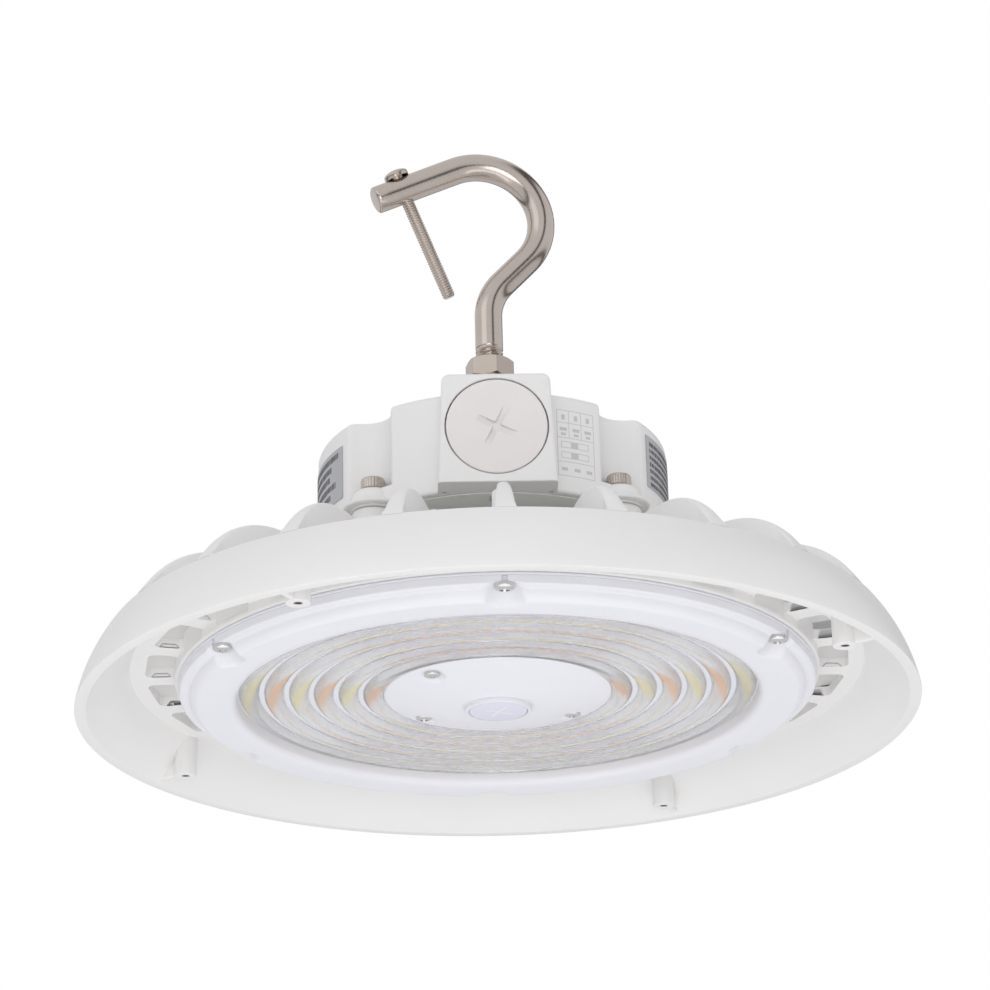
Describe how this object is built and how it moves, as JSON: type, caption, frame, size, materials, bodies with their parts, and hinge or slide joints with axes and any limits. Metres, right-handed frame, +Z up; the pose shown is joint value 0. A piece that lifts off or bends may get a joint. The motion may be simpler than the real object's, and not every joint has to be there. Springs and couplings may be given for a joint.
{
  "type": "high bay light",
  "caption": "Round LED high bay light with a finned die-cast heatsink, a ringed lens, a driver housing on top and a hanging hook with a safety screw.",
  "frame": {"origin": "middle of the rim's flat underside", "axes": "+Z up along the middle axis towards the hook, -Y towards the front, where the round selector cap is, +X to the right seen from the front"},
  "size_m": [0.3, 0.3, 0.2261],
  "materials": {
    "housing_paint": "satin white powder coat on die-cast aluminium",
    "plate_paint": "satin light grey coat",
    "gasket": "matt silicone",
    "white_plastic": "satin moulded polycarbonate",
    "clear_lens": "clear moulded polycarbonate",
    "bright_steel": "bright plated steel",
    "satin_steel": "satin nickel-plated steel",
    "plug_plastic": "satin moulded plastic",
    "cap_plastic": "satin moulded plastic",
    "board_white": "white solder mask",
    "led_cool": "pale yellow phosphor, unlit",
    "led_warm": "orange phosphor, unlit",
    "board_green": "green solder mask",
    "transformer_tape": "yellow tape",
    "capacitor_sleeve": "black sleeve",
    "terminal_plastic": "green plastic",
    "label_film": "matt silver-grey film"
  },
  "bodies": {
    "root": {"heatsink": "housing_paint", "hub_gasket": "gasket", "lens_ring": "white_plastic", "lens": "clear_lens", "lens_screws": "bright_steel", "centre_cover": "white_plastic", "cover_screws": "bright_steel", "sensor_socket": "white_plastic", "sensor_plug": "plug_plastic", "led_board": "board_white", "leds_cool": "led_cool", "leds_warm": "led_warm", "driver_housing": "housing_paint", "driver_base_plate": "plate_paint", "base_plate_screws": "bright_steel", "driver_bolts": "satin_steel", "duct_gasket": "gasket", "selector_cap": "cap_plastic", "selector_seal": "gasket", "driver_board": "board_green", "transformer": "transformer_tape", "capacitors": "capacitor_sleeve", "terminal_block": "terminal_plastic", "hook": "satin_steel", "hook_nut": "satin_steel", "spring_washer": "satin_steel", "flat_washer": "satin_steel", "safety_screw": "satin_steel", "label_left": "label_film", "label_right": "label_film"}
  },
  "joints": []
}
